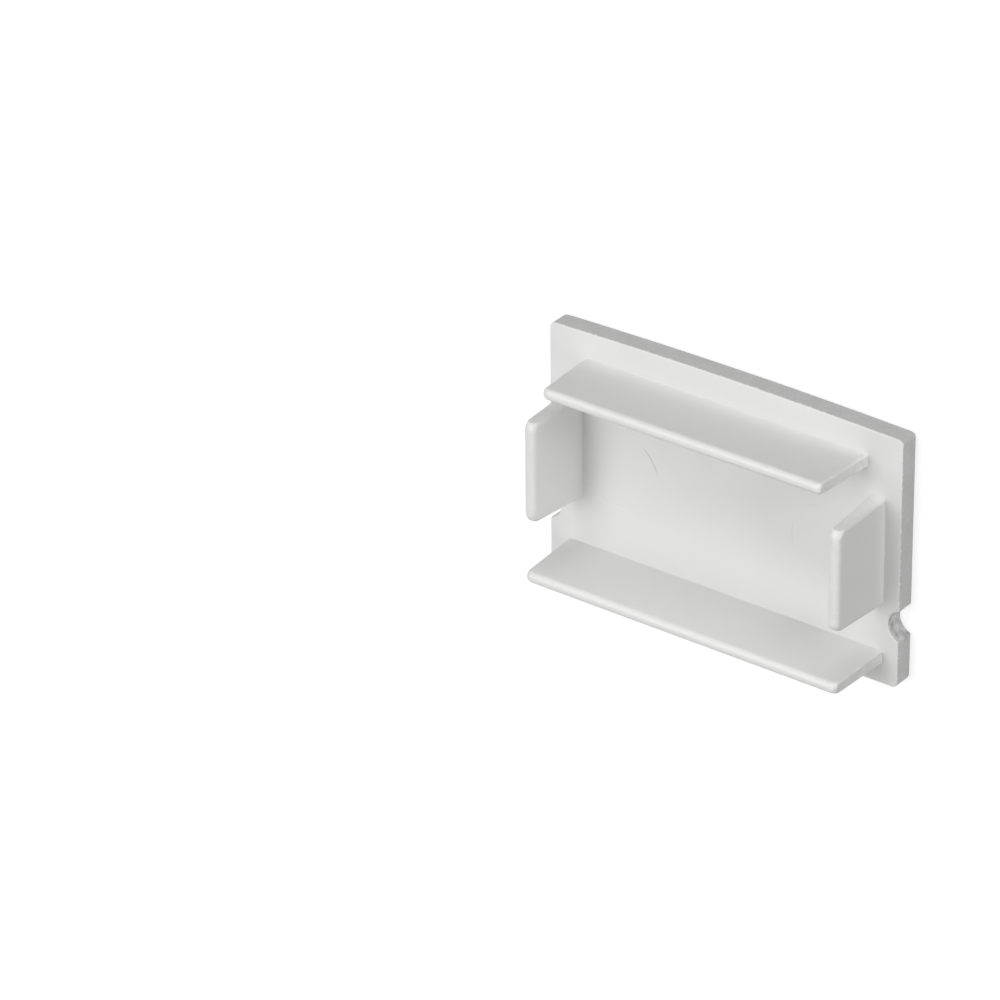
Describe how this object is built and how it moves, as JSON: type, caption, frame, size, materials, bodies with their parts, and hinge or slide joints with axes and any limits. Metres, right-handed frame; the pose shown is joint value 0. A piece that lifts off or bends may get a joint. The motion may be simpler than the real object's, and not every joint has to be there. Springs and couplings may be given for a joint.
{
  "type": "profile end cap",
  "caption": "Rectangular moulded end cap with a crowned top edge, side notches and tapered plug tongues that press into an extruded profile.",
  "frame": {"origin": "middle of the outer face, which lies on the ground", "axes": "+X along the width, +Y towards the crowned top edge, +Z along the direction of insertion, towards the tips of the tongues"},
  "size_m": [0.035, 0.0232, 0.0086],
  "materials": {
    "moulded_body": "moulded light grey, with a fine metallic silver coat on the outer face and edges"
  },
  "bodies": {
    "root": {"end_cap": "moulded_body"}
  },
  "joints": []
}
